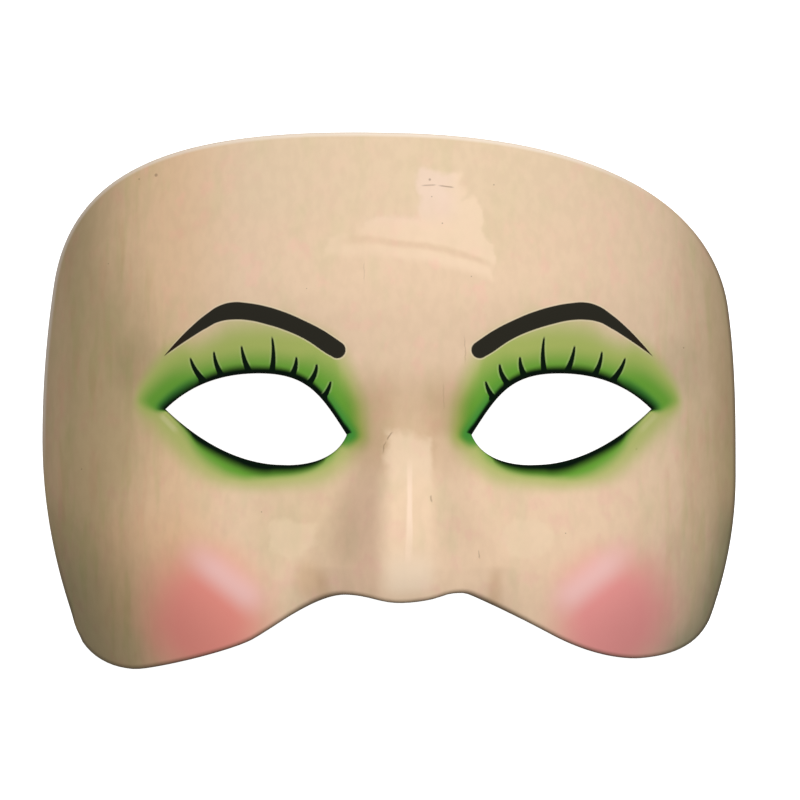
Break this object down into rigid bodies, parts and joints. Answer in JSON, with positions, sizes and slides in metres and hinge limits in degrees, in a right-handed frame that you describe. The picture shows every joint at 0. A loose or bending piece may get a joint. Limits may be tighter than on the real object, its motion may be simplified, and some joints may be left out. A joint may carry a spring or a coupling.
{
  "type": "half mask",
  "caption": "Thin moulded half mask for the upper face, with eye holes, a nose bridge and cheeks, painted on the front and plain inside.",
  "frame": {"origin": "on the surface the mask lies on, under the middle of its bounding box", "axes": "+X to the viewer's right across the face, +Y towards the forehead, +Z out of the painted front"},
  "size_m": [0.152, 0.1142, 0.0611],
  "materials": {
    "painted_shell": "flesh-coloured paint under a thin, nearly matt varnish on papier-mache"
  },
  "bodies": {
    "root": {"mask_shell": "painted_shell"}
  },
  "joints": []
}
